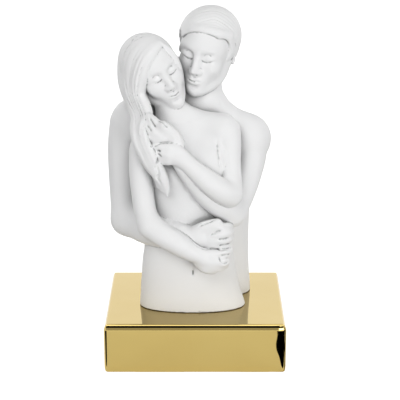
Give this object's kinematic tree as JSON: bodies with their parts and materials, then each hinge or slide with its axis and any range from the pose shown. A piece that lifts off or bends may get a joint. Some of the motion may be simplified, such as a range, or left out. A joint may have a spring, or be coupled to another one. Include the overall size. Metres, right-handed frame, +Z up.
{
  "type": "courting couple figurine",
  "caption": "White porcelain bust of a man embracing a woman from behind, cut flat at the hips, on a gold-glazed block plinth.",
  "frame": {"origin": "centre of the plinth's underside", "axes": "+Z up from the plinth to the crown of the man's head, -Y towards the viewer whom the figures face, +X to that viewer's right"},
  "size_m": [0.18, 0.162, 0.3502],
  "materials": {
    "porcelain": "unglazed white bisque porcelain, matte",
    "gold": "mirror-bright gold lustre over glazed ceramic"
  },
  "bodies": {
    "root": {"couple": "porcelain", "plinth": "gold"}
  },
  "joints": []
}
